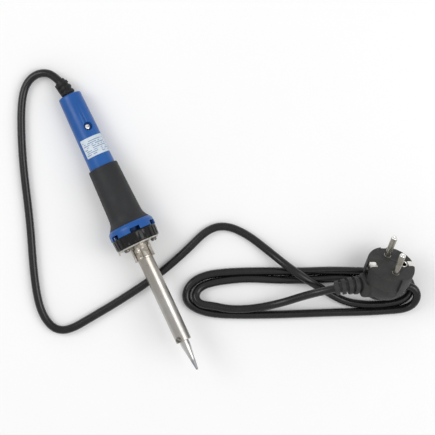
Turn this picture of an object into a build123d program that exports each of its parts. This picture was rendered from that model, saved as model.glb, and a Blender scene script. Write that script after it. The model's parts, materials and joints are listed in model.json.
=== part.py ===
from build123d import *
import math
import os

# Mains soldering iron with a fixed lead and a right-angle earthed plug.
#
# The iron is drawn in its own frame: +X runs along the axis from the rear of
# the handle (x = 0) to the end of the tip, and angles about the axis are
# measured from +Z towards +Y. It is then laid down on its flange and on the
# rear edge of its handle, which tips its axis up by TILT. The row's origin is
# the bottom centre of the iron's own box, +Z up. All sizes are millimetres.

# ---- handle ----
REAR_R = 9.0
REAR_CHAMFER = 1.36
GRIP_START = 60.6
SHELL_R_AT_GRIP = 10.18
NECK_X = 102.3
NECK_R = 11.22
FLANGE_BACK = 108.9
FLANGE_SEAT_R = 14.66
FLANGE_BACK_R = 16.38
RIM_X = 113.1
RIM_R = 18.28
FLANGE_FRONT = 116.3
SKIRT_WALL = 1.81
CORE_R = 11.13
REAR_WALL = 2.17
CAVITY_REAR_R = 7.06
CAVITY_FRONT_R = 9.05
SEAM_ANGLE = 23.0
WINDOW_PITCH = 60
WINDOW_FIRST = -50
WINDOW_WIDTH = 7.96
WINDOW_DEPTH = 3.08

# ---- screws ----
HANDLE_SCREW_X = 28.42
RECESS_R = 3.44
RECESS_FLOOR = 6.33
FLANGE_SCREW_CIRCLE = 12.94
FLANGE_SCREW_ANGLES = (-49, 71, 191)

# ---- label ----
LABEL_X = (36.65, 51.49)
LABEL_ANGLES = (-47, 100)
LABEL_THICKNESS = 0.2

# ---- front end ----
RING_FRONT = 125.1
RING_R_BACK = 17.83
RING_R_FRONT = 17.38
PLATE_THICKNESS = 1.09
PLATE_R = 16.29
COLLAR_FRONT = 138.0
COLLAR_R = 8.14
COLLAR_WALL = 1.0
FINGERS = 8
BARREL_R = 6.02
BARREL_BORE_R = 5.48
BARREL_FRONT = 207.2
LOCK_SCREW_X = 205.0
LOCK_SCREW_ANGLE = -31
TIP_R = 3.71
TIP_BORE_R = 3.79
TIP_REAR = 144.8
TIP_CONE_START = 210.9
TIP_FRONT = 231.2
TIP_END_R = 0.77

# ---- wires ----
CONDUCTOR_R = 0.91
HEATER_LEAD_R = 0.27
SLEEVE_R = 0.81
LEAD_OFFSET = 2.71
TERMINAL_BLOCK_X = (41.63, 57.92)

# ---- lead ----
CORD_R = 3.1
CORD_BORE_R = 3.15
RELIEF_BEND_R = 37.83
RELIEF_BEND_ANGLE = 20
RELIEF_R = 4.43
RELIEF_RIB_RADII = (5.34, 5.16, 4.98)

# Control points of the lead's free stretch, in the row frame, from the end of
# the handle's relief to the end of the plug's relief. It lies on the surface
# at z = 3.15, passes over and under itself and once under the barrel.
ROUTE = [
    (-127.8, -2.3, 7.8),
    (-135.2, -4.9, 7.1),
    (-140.6, -10.7, 5.9),
    (-142, -19.4, 4.1),
    (-138, -28.5, 3.15),
    (-127.7, -36.3, 3.15),
    (-109.6, -44.9, 3.15),
    (-81.5, -55.4, 3.15),
    (-40.8, -68.7, 3.15),
    (-4.4, -83, 3.15),
    (18.3, -89.9, 3.15),
    (32.9, -90.8, 3.15),
    (43.8, -86.8, 3.15),
    (48.4, -76.8, 3.15),
    (47.5, -57.7, 3.15),
    (45.2, -32.2, 3.15),
    (40.2, 2.4, 3.15),
    (32, 30.6, 3.15),
    (23.3, 51.5, 3.15),
    (26.1, 66.1, 3.15),
    (39.3, 79.3, 3.15),
    (58.8, 89.7, 5),
    (75.9, 98.2, 13.1),
    (90.4, 106.8, 13.1),
    (105.7, 116.1, 5.9),
    (118.7, 124, 3.15),
    (127.4, 136.3, 3.15),
    (133.8, 150.9, 3.15),
    (137.5, 164.6, 3.15),
    (134.8, 173.7, 3.15),
    (127, 177.3, 3.15),
    (119.2, 173.2, 3.15),
    (111.9, 162.7, 3.15),
    (100.4, 145.8, 3.15),
    (90.8, 124.8, 3.15),
    (81.7, 101.1, 3.15),
    (68.9, 77, 3.15),
    (58, 53.3, 3.15),
    (52.5, 35.6, 3.15),
    (52.9, 22.8, 3.15),
    (58, 14.2, 3.15),
    (66.6, 11, 3.15),
    (76.7, 16, 3.15),
    (85.8, 27.4, 3.15),
    (94.9, 46, 3.15),
    (105.5, 68.8, 3.15),
    (115.5, 92, 3.15),
    (126, 117.1, 3.15),
    (135.7, 138.1, 3.15),
    (143, 156.8, 3.15),
    (146.4, 169.1, 4.1),
    (145.5, 177.1, 6.3),
    (140, 182.4, 9),
    (132.7, 181.6, 10.9),
    (127.9, 174.4, 11.1),
    (122.3, 161.5, 6.4),
    (112.8, 147.2, 3.15),
    (101.4, 130.3, 3.15),
    (93.6, 110.3, 3.15),
    (82.6, 86.1, 3.15),
    (70.7, 64.3, 3.15),
    (63.4, 47.9, 3.15),
    (60.2, 37.9, 3.15),
    (58.9, 29.2, 3.15),
    (60.6, 22, 4.1),
    (65.9, 17.9, 6.3),
    (73.1, 19.8, 7.7),
    (78.6, 28.8, 7.7),
    (84.8, 41.5, 4.5),
    (92.2, 58.8, 3.15),
    (96.8, 79.5, 8.5),
    (99.1, 96.9, 19.5),
    (101.9, 110.7, 28.2),
    (104, 120.5, 29.7),
]

# ---- plug ----
PLUG_FACE_CENTRE = Vector(104.9, 167.3, 34.5)
PIN_LINE = Vector(0.711, -0.054, 0.701)
FACE_NORMAL = Vector(-0.578, 0.524, 0.626)
FACE_R = 18.7
DRUM_DEPTH = 13.0
DOME_R = 17.2
DOME_START = 16.0
DOME_MIDDLE = (14.9, 24.0)
DOME_END_R = 9.5
HOUSING_DEPTH = 28.6
PLUG_DEPTH = 31.0
LIP_R = 8.6
LIP_Y = (-5.9, 1.9)
CABLE_BLOCK_WIDTH = 16.0
CABLE_BLOCK_HEIGHT = 14.0
CABLE_BLOCK_END = 19.5
CABLE_DEPTH = 22.4
CABLE_NECK = 1.0
CABLE_EXIT = CABLE_BLOCK_END + CABLE_NECK
PIN_R = 2.4
PIN_LENGTH = 19.0
PIN_SPACING = 19.0
PIN_ROOT_R = 2.9
PIN_ROOT = 12.0
EARTH_OFFSET = 10.0
EARTH_BORE_R = 2.45
EARTH_SLEEVE_R = 3.3
EARTH_DEPTH = 14.0
CLIP_NOTCH_WIDTH = 6.4
CLIP_NOTCH_FLOOR = 16.6
CLIP_WIDTH = 5.2
GUIDE_NOTCH_WIDTH = 5.5
GUIDE_NOTCH_FLOOR = 16.8
PLUG_RELIEF_R = 4.8
PLUG_RELIEF_RIB_RADII = (6.9, 6.5, 6.0, 5.6)
PLUG_RELIEF_BEND_R = 36.0
PLUG_RELIEF_BEND_ANGLE = 30
PLUG_RELIEF_TOWARDS = Vector(0.43, -0.2, -0.88)

GAP = 0.1
TILT = math.degrees(math.atan((RIM_R - REAR_R) / (RIM_X - REAR_CHAMFER)))


def turned(*outline):
    """A solid of revolution about X, from its closed outline of (x, r)."""
    face = make_face(Polyline(*[(x, r, 0) for x, r in outline], close=True))
    return revolve(face, axis=Axis.X)


def tube_x(x0, x1, outer, inner=0.0):
    """A tube or rod along the axis from x0 to x1."""
    body = Pos((x0 + x1) / 2, 0, 0) * Rot(0, 90, 0) * Cylinder(outer, x1 - x0)
    if inner:
        bore = Pos((x0 + x1) / 2, 0, 0) * Rot(0, 90, 0) * Cylinder(inner, x1 - x0 + 2)
        body = body - bore
    return body


def spoke(x, angle, r0, r1, radius):
    """A rod pointing away from the axis at that angle, from r0 to r1."""
    return Rot(-angle, 0, 0) * Pos(x, 0, (r0 + r1) / 2) * Cylinder(radius, r1 - r0)


def along(x0, x1, angle, distance, radius):
    """A rod parallel to the axis, at that distance and angle."""
    return Rot(-angle, 0, 0) * Pos(0, 0, distance) * tube_x(x0, x1, radius)


def wire(points, radius, bend):
    """A round wire through the points, with one bend radius."""
    path = FilletPolyline(*points, radius=bend) if len(points) > 2 else Line(*points)
    section = Plane(origin=path @ 0, z_dir=path % 0) * Circle(radius)
    return sweep(section, path=path)


def shell_radius(x):
    """Outer radius of the blue shells behind the grip."""
    slope = (SHELL_R_AT_GRIP - REAR_R) / (GRIP_START - REAR_CHAMFER)
    return REAR_R + slope * (x - REAR_CHAMFER)


# ---------------------------------------------------------------- handle


def shell_outline():
    """Outer and inner outline of both shells together, as one turned body."""
    outside = [
        (0, REAR_R - REAR_CHAMFER),
        (REAR_CHAMFER, REAR_R),
        (GRIP_START, SHELL_R_AT_GRIP),
        (NECK_X, NECK_R),
        (FLANGE_BACK - 1.18, FLANGE_SEAT_R),
        (FLANGE_BACK, FLANGE_SEAT_R),
        (FLANGE_BACK, FLANGE_BACK_R),
        (FLANGE_BACK + 0.91, FLANGE_BACK_R + 0.91),
        (FLANGE_BACK + 2.44, FLANGE_BACK_R + 1.67),
        (RIM_X, RIM_R),
        (FLANGE_FRONT, RIM_R),
    ]
    hollow_flange = [
        (FLANGE_FRONT, RIM_R - SKIRT_WALL),
        (FLANGE_BACK + 1.45, RIM_R - SKIRT_WALL),
        (FLANGE_BACK + 1.45, CORE_R),
        (FLANGE_FRONT, CORE_R),
        (FLANGE_FRONT, 5.88),
        (FLANGE_BACK - 1.63, 5.88),
    ]
    cavity = [
        (FLANGE_BACK - 1.63, CAVITY_FRONT_R),
        (REAR_WALL, CAVITY_REAR_R),
        (REAR_WALL, 4.53),
        (0, 4.53),
    ]
    return turned(*outside, *hollow_flange, *cavity)


def windows():
    """Cutters for the six notches in the flange's front edge."""
    middle = FLANGE_FRONT - WINDOW_DEPTH / 2
    cutter = Pos(middle + 0.45, 0, RIM_R) * Box(WINDOW_DEPTH + 0.91, WINDOW_WIDTH, 5.43)
    angles = [WINDOW_FIRST + WINDOW_PITCH * i for i in range(6)]
    return [Rot(-angle, 0, 0) * cutter for angle in angles]


def handle_shells():
    """Front and back half shells, parted on the plane through the axis."""
    body = shell_outline()
    for cutter in windows():
        body = body - cutter
    posts_start = FLANGE_BACK + 0.91
    for angle in FLANGE_SCREW_ANGLES:
        body = body + along(posts_start, FLANGE_FRONT, angle, FLANGE_SCREW_CIRCLE, 2.17)
    for angle in FLANGE_SCREW_ANGLES:
        body = body - along(111.7, 117.7, angle, FLANGE_SCREW_CIRCLE, 1.31)

    half = Pos(TIP_FRONT / 2, 0, 45) * Box(TIP_FRONT + 36, 90, 90)
    upper = Rot(-SEAM_ANGLE, 0, 0) * half
    lower = Rot(180 - SEAM_ANGLE, 0, 0) * half
    envelope = turned(
        (REAR_WALL, 0),
        (REAR_WALL, REAR_R - 0.54),
        (GRIP_START, SHELL_R_AT_GRIP - 0.54),
        (GRIP_START, 0),
    )
    front = body & upper
    cup = spoke(HANDLE_SCREW_X, SEAM_ANGLE, RECESS_FLOOR - 1.36, REAR_R + 1.81, RECESS_R + 1.09)
    pillar = spoke(HANDLE_SCREW_X, SEAM_ANGLE, 0, RECESS_FLOOR, 3.08)
    front = front + (cup & envelope) + pillar
    front = front - spoke(HANDLE_SCREW_X, SEAM_ANGLE, RECESS_FLOOR, REAR_R + 3.62, RECESS_R)
    front = front - spoke(HANDLE_SCREW_X, SEAM_ANGLE, -0.91, REAR_R, 1.45)

    back = body & lower
    back_pillar = spoke(HANDLE_SCREW_X, SEAM_ANGLE + 180, 0, REAR_R + 0.91, 3.08) & envelope
    back = back + back_pillar
    back = back - spoke(HANDLE_SCREW_X, SEAM_ANGLE + 180, -0.91, 6.33, 1.31)
    return front, back


def handle_screw():
    """Pan-head cross screw, its head on the floor of the recess."""
    shank = spoke(HANDLE_SCREW_X, SEAM_ANGLE, -5.88, RECESS_FLOOR + 0.18, 1.27)
    head = spoke(HANDLE_SCREW_X, SEAM_ANGLE, RECESS_FLOOR, RECESS_FLOOR + 1.54, 2.4)
    top = Rot(-SEAM_ANGLE, 0, 0) * Pos(HANDLE_SCREW_X, 0, RECESS_FLOOR + 1.36)
    cross = top * Box(2.9, 0.63, 1.09) + top * Box(0.63, 2.9, 1.09)
    head = fillet(head.edges().filter_by(GeomType.CIRCLE).sort_by(head_height)[-1], 0.72)
    return shank + head - cross


def head_height(edge):
    """How far an edge lies out along the handle screw's axis."""
    axis = Vector(0, math.sin(math.radians(SEAM_ANGLE)), math.cos(math.radians(SEAM_ANGLE)))
    return edge.center().dot(axis)


def rating_label():
    """Thin sticker wrapped round the front shell."""
    x0, x1 = LABEL_X
    skin = turned(
        (x0, shell_radius(x0) + 0.02),
        (x0, shell_radius(x0) + LABEL_THICKNESS),
        (x1, shell_radius(x1) + LABEL_THICKNESS),
        (x1, shell_radius(x1) + 0.02),
    )
    half_turn = (LABEL_ANGLES[1] - LABEL_ANGLES[0]) / 2
    middle = (LABEL_ANGLES[1] + LABEL_ANGLES[0]) / 2
    reach = 36.0
    edge = (reach * math.sin(math.radians(half_turn)), reach * math.cos(math.radians(half_turn)))
    wedge = make_face(
        Polyline((0, 0), edge, (reach, reach), (-reach, reach), (-edge[0], edge[1]), close=True)
    )
    wedge = Plane.YZ * wedge
    return skin & (Rot(-middle, 0, 0) * extrude(wedge, amount=90))


def grip_sleeve():
    """Rubber sleeve over the front of the shells, flared against the flange."""
    return turned(
        (GRIP_START, SHELL_R_AT_GRIP + GAP),
        (NECK_X, NECK_R + GAP),
        (FLANGE_BACK - 1.27, FLANGE_SEAT_R + GAP),
        (FLANGE_BACK - GAP, FLANGE_SEAT_R + GAP),
        (FLANGE_BACK - GAP, FLANGE_BACK_R),
        (FLANGE_BACK - 1.09, 15.66),
        (FLANGE_BACK - 2.71, 14.57),
        (FLANGE_BACK - 4.53, 13.71),
        (FLANGE_BACK - 6.79, 13.17),
        (GRIP_START + 0.63, 11.77),
        (GRIP_START, 11.22),
    )


# ------------------------------------------------------------- front end


def heat_shield_ring():
    """Moulded ring between the flange and the mounting plate."""
    ring = turned(
        (FLANGE_FRONT, 6.79),
        (FLANGE_FRONT, RING_R_BACK - 0.36),
        (FLANGE_FRONT + 0.36, RING_R_BACK),
        (RING_FRONT - 0.54, RING_R_FRONT),
        (RING_FRONT, RING_R_FRONT - 0.54),
        (RING_FRONT, 8.87),
        (RING_FRONT - 1.63, 8.87),
        (RING_FRONT - 1.63, 6.79),
    )
    for angle in FLANGE_SCREW_ANGLES:
        ring = ring - along(108.6, 131.2, angle, FLANGE_SCREW_CIRCLE, 1.45)
    return ring


def mounting_plate():
    """Steel disc that clamps the barrel's flange, with a bent tab."""
    front = RING_FRONT + PLATE_THICKNESS
    plate = tube_x(RING_FRONT, front, PLATE_R, BARREL_R + GAP)
    for angle in FLANGE_SCREW_ANGLES:
        plate = plate - along(108.6, 131.2, angle, FLANGE_SCREW_CIRCLE, 1.45)
    arm = Pos(RING_FRONT + PLATE_THICKNESS / 2, 0, PLATE_R - 0.18) * Box(PLATE_THICKNESS, 3.62, 1.81)
    lip = Pos(front + 0.54, 0, PLATE_R + 0.27) * Box(2.17, 3.62, 0.91)
    return plate + Rot(90, 0, 0) * (arm + lip)


def barrel_collar():
    """Slotted collar: a ring with eight fingers along the barrel."""
    back = RING_FRONT + PLATE_THICKNESS
    finger_root = back + 2.35
    collar = turned(
        (back, BARREL_R + GAP),
        (back, COLLAR_R),
        (COLLAR_FRONT - 0.72, COLLAR_R),
        (COLLAR_FRONT, COLLAR_R - 0.54),
        (COLLAR_FRONT, COLLAR_R - COLLAR_WALL - 0.27),
        (COLLAR_FRONT - 0.91, COLLAR_R - COLLAR_WALL),
        (finger_root, COLLAR_R - COLLAR_WALL),
        (finger_root, BARREL_R + GAP),
    )
    length = COLLAR_FRONT - finger_root + 0.91
    slot = Pos(finger_root + length / 2, 0, COLLAR_R) * Box(length, 1.0, 3.62)
    for i in range(FINGERS):
        collar = collar - Rot(360 / FINGERS * i, 0, 0) * slot
    return collar


def flange_screws():
    """Three screws through plate and ring into the shells' posts."""
    seat = RING_FRONT + PLATE_THICKNESS
    screws = []
    for angle in FLANGE_SCREW_ANGLES:
        head = along(seat, seat + 2.35, angle, FLANGE_SCREW_CIRCLE, 2.26)
        shank = along(111.9, seat + 0.09, angle, FLANGE_SCREW_CIRCLE, 1.27)
        slot = Rot(-angle, 0, 0) * Pos(seat + 2.17, 0, FLANGE_SCREW_CIRCLE) * Box(1.09, 0.72, 3.62)
        screws.append(head + shank - slot)
    return Compound(children=[s.solid() for s in screws])


def barrel():
    """Polished steel tube with a flared root and the lock screw's hole."""
    tube = turned(
        (RING_FRONT - 0.91, BARREL_BORE_R),
        (RING_FRONT - 0.91, 8.6),
        (RING_FRONT, 8.6),
        (RING_FRONT, BARREL_R),
        (BARREL_FRONT - 0.27, BARREL_R),
        (BARREL_FRONT, BARREL_R - 0.27),
        (BARREL_FRONT, BARREL_BORE_R),
    )
    return tube - spoke(LOCK_SCREW_X, LOCK_SCREW_ANGLE, 0, 8.14, 1.45)


def tip_bush():
    """Steel ring in the barrel's mouth that carries the lock screw."""
    bush = tube_x(200.9, BARREL_FRONT - 0.18, BARREL_BORE_R, TIP_BORE_R)
    return bush - spoke(LOCK_SCREW_X, LOCK_SCREW_ANGLE, 0, 8.14, 1.45)


def tip_lock_screw():
    """Round-head screw that presses on the tip's shank."""
    shank = spoke(LOCK_SCREW_X, LOCK_SCREW_ANGLE, TIP_R + 0.09, BARREL_R + 0.36, 1.4)
    head = spoke(LOCK_SCREW_X, LOCK_SCREW_ANGLE, BARREL_R + 0.09, BARREL_R + 1.72, 2.13)
    slot = Rot(-LOCK_SCREW_ANGLE, 0, 0) * Pos(LOCK_SCREW_X, 0, BARREL_R + 1.72) * Box(5.43, 0.54, 1.27)
    return shank + head - slot


def soldering_tip():
    """Round shank, cone and small rounded working end."""
    return turned(
        (TIP_REAR, 0),
        (TIP_REAR, TIP_R - 0.45),
        (TIP_REAR + 0.45, TIP_R),
        (TIP_CONE_START, TIP_R),
        (TIP_FRONT - 0.72, TIP_END_R + 0.14),
        (TIP_FRONT - 0.18, TIP_END_R - 0.23),
        (TIP_FRONT, TIP_END_R - 0.54),
        (TIP_FRONT, 0),
    )


def heater():
    """Guide tube, two mica sleeves and the winding between them."""
    guide = tube_x(143.0, 200.7, 4.03, TIP_BORE_R)
    inner_mica = tube_x(144.8, 197.3, 4.3, 4.07)
    outer_mica = tube_x(147.1, 199.1, 5.25, 4.98)
    pitch = 2.44
    turns = 20
    outline = [(146.6, 4.34)]
    for i in range(turns):
        start = 146.6 + pitch * i
        outline += [(start, 4.71), (start + pitch * 0.3, 4.89), (start + pitch * 0.7, 4.89)]
    outline += [(146.6 + pitch * turns, 4.71), (146.6 + pitch * turns, 4.34)]
    return guide, inner_mica, turned(*outline), outer_mica


# -------------------------------------------------------------- internals
# The wiring is drawn with +Z along the handle screw and then turned with it.


def inside(shape):
    """Turns a part of the wiring into line with the handle screw."""
    return Rot(-SEAM_ANGLE, 0, 0) * shape


def ceramic_insulator():
    """Ceramic plug in the barrel's root, with a hole for each heater lead."""
    plug = tube_x(RING_FRONT + 0.18, 136.7, BARREL_BORE_R - GAP)
    for side in (-1, 1):
        hole = Pos(131.2, side * LEAD_OFFSET, 0) * Rot(0, 90, 0) * Cylinder(0.45, 18.1)
        plug = plug - inside(hole)
    return plug


def heater_lead(side):
    """Bare lead from the terminal block to the winding."""
    y = side * LEAD_OFFSET
    points = [(52.49, y, 0), (138.0, y, 0), (142.5, side * 4.62, 0), (146.55, side * 4.62, 0)]
    return inside(wire(points, HEATER_LEAD_R, 1.36))


def lead_sleeves():
    """Heat-proof sleeves over both heater leads."""
    sleeves = []
    for side in (-1, 1):
        sleeve = tube_x(59.73, RING_FRONT + 0.09, SLEEVE_R, HEATER_LEAD_R + 0.09)
        sleeves.append(inside(Pos(0, side * LEAD_OFFSET, 0) * sleeve).solid())
    return Compound(children=sleeves)


def terminal_block():
    """Two-way block with its wire holes and screw holes."""
    x0, x1 = TERMINAL_BLOCK_X
    block = Pos((x0 + x1) / 2, 0, 0) * Box(x1 - x0, 11.4, 6.88)
    for side in (-1, 1):
        block = block - Pos((x0 + x1) / 2, side * LEAD_OFFSET, 0) * Rot(0, 90, 0) * Cylinder(1.09, 18.1)
        for x in (x0 + 3.17, x1 - 3.17):
            block = block - Pos(x, side * LEAD_OFFSET, 2.9) * Cylinder(1.22, 3.62)
    return inside(block)


def terminal_screws():
    """Four short screws that clamp the wires."""
    x0, x1 = TERMINAL_BLOCK_X
    screws = []
    for side in (-1, 1):
        for x in (x0 + 3.17, x1 - 3.17):
            body = Pos(x, side * LEAD_OFFSET, 2.53) * Cylinder(1.1, 2.5)
            slot = Pos(x, side * LEAD_OFFSET, 3.71) * Box(3.62, 0.45, 0.72)
            screws.append(inside(body - slot).solid())
    return Compound(children=screws)


def line_conductor(side):
    """Insulated core from the cord's end, round the screw pillar, to the block."""
    y = side * LEAD_OFFSET
    points = [(18.46, side * 1.36, 0.72), (21.72, side * 2.71, 0.54), (27.15, side * 5.07, 0)]
    points += [(32.58, side * 5.07, 0), (38.01, y, 0), (47.97, y, 0)]
    return inside(wire(points, CONDUCTOR_R, 1.81))


def earth_conductor():
    """Earth core, past the block and through the ring to its tag."""
    points = [(18.46, 0, -1.63), (22.62, 2.26, -3.17), (27.15, 4.34, -4.53), (32.58, 4.34, -4.53)]
    points += [(38.91, 0, -4.8), (59.73, 0, -4.71), (67.0, 0, -4.16), (RING_FRONT - 1.58, 0, -4.16)]
    return inside(wire(points, CONDUCTOR_R, 2.71))


def earth_tag():
    """Washer behind the barrel's flange with a tongue for the earth core."""
    x1 = RING_FRONT - 0.95
    tag = tube_x(x1 - 0.54, x1, 8.51, 5.97)
    tongue = Pos(x1 - 0.27, 0, -5.07) * Box(0.54, 2.35, 3.8)
    return inside(tag + tongue)


def relief_path(straight, radius, angle):
    """A path in the XY plane along +X, then curving towards +Y."""
    return Line((-straight, 0), (0, 0)) + JernArc((0, 0), (1, 0), radius, angle)


def swept(path, radius):
    """A round rod along a path."""
    return sweep(Plane(origin=path @ 0, z_dir=path % 0) * Circle(radius), path=path)


def relief(straight, core, ribs, first_rib, pitch, thickness, bend_r, angle):
    """A bored, ribbed strain relief that leaves along +X and curves to +Y."""
    body = swept(relief_path(straight, bend_r, angle), core)
    for i, rib_r in enumerate(ribs):
        turn = (first_rib + pitch * i) / bend_r
        centre = (bend_r * math.sin(turn), bend_r * (1 - math.cos(turn)), 0)
        tangent = (math.cos(turn), math.sin(turn), 0)
        body = body + Plane(origin=centre, z_dir=tangent) * Cylinder(rib_r, thickness)
    return body - swept(relief_path(straight + 1, bend_r, angle + 2), CORD_BORE_R)


# The handle's relief leaves towards -X and curves towards -Y.
RELIEF_FRAME = Rot(0, 0, 180)


def strain_relief():
    """Rubber relief in the handle's rear wall."""
    body = relief(4.53, RELIEF_R, RELIEF_RIB_RADII, 2.35, 3.71, 2.17, RELIEF_BEND_R, RELIEF_BEND_ANGLE)
    flange = tube_x(REAR_WALL, 4.53, 6.24, CORD_BORE_R)
    return RELIEF_FRAME * body + flange


def cord_tail():
    """The lead's sheath from inside the handle to the end of the relief."""
    return RELIEF_FRAME * swept(relief_path(18.1, RELIEF_BEND_R, RELIEF_BEND_ANGLE), CORD_R)


def cord_tie():
    """Tie round the sheath that keeps it from being pulled out."""
    band = tube_x(8.14, 10.41, 4.07, CORD_BORE_R)
    lock = Pos(9.28, 0, 4.71) * Box(2.9, 3.26, 1.99)
    return band + (lock - tube_x(7.24, 11.31, 3.62))


# ------------------------------------------------------------------ plug

PLUG_FRAME = Plane(origin=PLUG_FACE_CENTRE, x_dir=PIN_LINE, z_dir=FACE_NORMAL)


def plug_relief_frame():
    """Where the plug's relief leaves the housing: +X out, +Y the way it bends."""
    out = -PLUG_FRAME.y_dir
    origin = PLUG_FRAME.origin + out * CABLE_EXIT - PLUG_FRAME.z_dir * CABLE_DEPTH
    side = PLUG_RELIEF_TOWARDS - out * out.dot(PLUG_RELIEF_TOWARDS)
    return Plane(origin=origin, x_dir=out, z_dir=out.cross(side))


def on_plug(shape):
    """Moves a part from the plug's own frame to the row frame."""
    return PLUG_FRAME.location * shape


def pin_bridge_solid():
    """Rigid carrier between the two pin roots."""
    return Pos(0, 0, -10) * Box(27, 9, 4)


def pin_root(side):
    """The buried end of a pin."""
    return Pos(side * PIN_SPACING / 2, 0, -PIN_ROOT / 2) * Cylinder(PIN_ROOT_R, PIN_ROOT)


def clip_recess(side):
    """Cutter for the recess of one earth clip, in the drum's side and face."""
    side_cut = Pos(0, side * (CLIP_NOTCH_FLOOR + 2.5), -5.8) * Box(CLIP_NOTCH_WIDTH, 5, 14.4)
    inner = clip_inner_end(side) - 0.3
    face_cut = Pos(0, side * (inner + 20) / 2, -0.6) * Box(CLIP_NOTCH_WIDTH, 20 - inner, 1.2)
    return side_cut + face_cut


def clip_inner_end(side):
    """How far from the axis a clip's front tab starts: the earth sleeve is in the way of one."""
    return EARTH_OFFSET + EARTH_SLEEVE_R + 0.6 if side > 0 else 12.4


def plug_dome():
    """Round back of the housing, turned about the plug's axis."""
    top = -DRUM_DEPTH + 0.5
    profile = Line((0, top), (DOME_R, top)) + Line((DOME_R, top), (DOME_R, -DOME_START))
    profile += ThreePointArc(
        (DOME_R, -DOME_START), (DOME_MIDDLE[0], -DOME_MIDDLE[1]), (DOME_END_R, -HOUSING_DEPTH)
    )
    profile += Line((DOME_END_R, -HOUSING_DEPTH), (0, -HOUSING_DEPTH))
    profile += Line((0, -HOUSING_DEPTH), (0, top))
    return revolve(Plane.XZ * make_face(profile), axis=Axis.Z)


def plug_body():
    """Round front drum, domed back with a thumb rim, and a block for the cable."""
    drum = Pos(0, 0, -DRUM_DEPTH / 2) * Cylinder(FACE_R, DRUM_DEPTH)
    drum = chamfer(drum.edges().filter_by(GeomType.CIRCLE), 0.8)
    for side in (-1, 1):
        drum = drum - clip_recess(side)
        guide = Box(5, GUIDE_NOTCH_WIDTH, 22)
        drum = drum - Pos(side * (GUIDE_NOTCH_FLOOR + 2.5), 0, -8) * guide
    block = Box(CABLE_BLOCK_WIDTH, CABLE_BLOCK_END, CABLE_BLOCK_HEIGHT)
    block = fillet(block.edges().filter_by(Axis.Y), 3.5)
    block = Pos(0, -CABLE_BLOCK_END / 2, -CABLE_DEPTH) * block
    rim = make_hull((Sketch() + [Pos(0, y) * Circle(LIP_R) for y in LIP_Y]).edges())
    rim = Pos(0, 0, -PLUG_DEPTH) * extrude(rim, amount=PLUG_DEPTH - HOUSING_DEPTH + 0.4)
    rim = fillet(rim.edges().group_by(Axis.Z)[0], 0.8)
    body = drum + plug_dome() + block + rim
    body = body - pin_bridge_solid() - pin_root(-1) - pin_root(1)
    body = body - Pos(0, EARTH_OFFSET, -EARTH_DEPTH / 2) * Cylinder(EARTH_SLEEVE_R, EARTH_DEPTH)
    bore = Pos(0, -CABLE_EXIT + 4.5, -CABLE_DEPTH) * Rot(90, 0, 0) * Cylinder(CORD_BORE_R, 10)
    return on_plug(body - bore)


def plug_pin(side):
    """One contact pin with its wider root."""
    x = side * PIN_SPACING / 2
    pin = Pos(x, 0, PIN_LENGTH / 2) * Cylinder(PIN_R, PIN_LENGTH)
    pin = chamfer(pin.edges().filter_by(GeomType.CIRCLE).sort_by(Axis.Z)[-1], 0.8)
    return on_plug(pin + pin_root(side))


def plug_pin_bridge():
    """The bridge, bored for both pin roots."""
    return on_plug(pin_bridge_solid() - pin_root(-1) - pin_root(1))


def plug_earth_socket():
    """Sleeve that takes the socket's earth pin."""
    sleeve = Pos(0, EARTH_OFFSET, -EARTH_DEPTH / 2) * Cylinder(EARTH_SLEEVE_R, EARTH_DEPTH)
    bore = Pos(0, EARTH_OFFSET, -EARTH_DEPTH / 2 + 1) * Cylinder(EARTH_BORE_R, EARTH_DEPTH)
    return on_plug(sleeve - bore)


def plug_earth_clips():
    """Two spring strips beside the face, each with a tab folded over its front."""
    clips = []
    for side in (-1, 1):
        inner = clip_inner_end(side)
        strip = Pos(0, side * 17.1, -6.5) * Box(CLIP_WIDTH, 0.9, 11.2)
        bump = Pos(0, side * 17.6, -7) * Box(CLIP_WIDTH, 1.2, 5)
        tab = Pos(0, side * (inner + 17.5) / 2, -0.6) * Box(CLIP_WIDTH, 17.5 - inner, 0.8)
        clips.append(on_plug(strip + bump + tab).solid())
    return Compound(children=clips)


def plug_strain_relief():
    """Ribbed relief moulded between the housing and the lead."""
    angle = PLUG_RELIEF_BEND_ANGLE
    body = relief(
        CABLE_NECK, PLUG_RELIEF_R, PLUG_RELIEF_RIB_RADII, 2.4, 4.8, 3.0, PLUG_RELIEF_BEND_R, angle
    )
    return plug_relief_frame().location * body


def plug_cord_tail():
    """The lead's sheath inside the plug and its relief."""
    path = relief_path(8.0, PLUG_RELIEF_BEND_R, PLUG_RELIEF_BEND_ANGLE)
    return plug_relief_frame().location * swept(path, CORD_R)


# ------------------------------------------------------------------ lead


def corner_radii(points):
    """Each corner's arc: as large as its two runs allow."""
    radii = []
    for before, corner, after in zip(points, points[1:], points[2:]):
        first = corner - before
        second = after - corner
        half_turn = math.radians(first.get_angle(second) / 2)
        radii.append(0.45 * min(first.length, second.length) / math.tan(half_turn))
    return radii


def mains_cord():
    """The lead's free stretch."""
    points = [Vector(*p) for p in ROUTE]
    radii = corner_radii(points)
    path = FilletPolyline(*points, radius=radii)
    tube = sweep(Plane(origin=path @ 0, z_dir=path % 0) * Circle(CORD_R), path=path)
    print("lead: radii", [round(r, 1) for r in radii])
    print("lead: tightest", round(min(radii), 1), "length", round(path.length, 1))
    print("lead: volume", round(tube.volume), "expected", round(math.pi * CORD_R**2 * path.length))
    return tube


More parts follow.
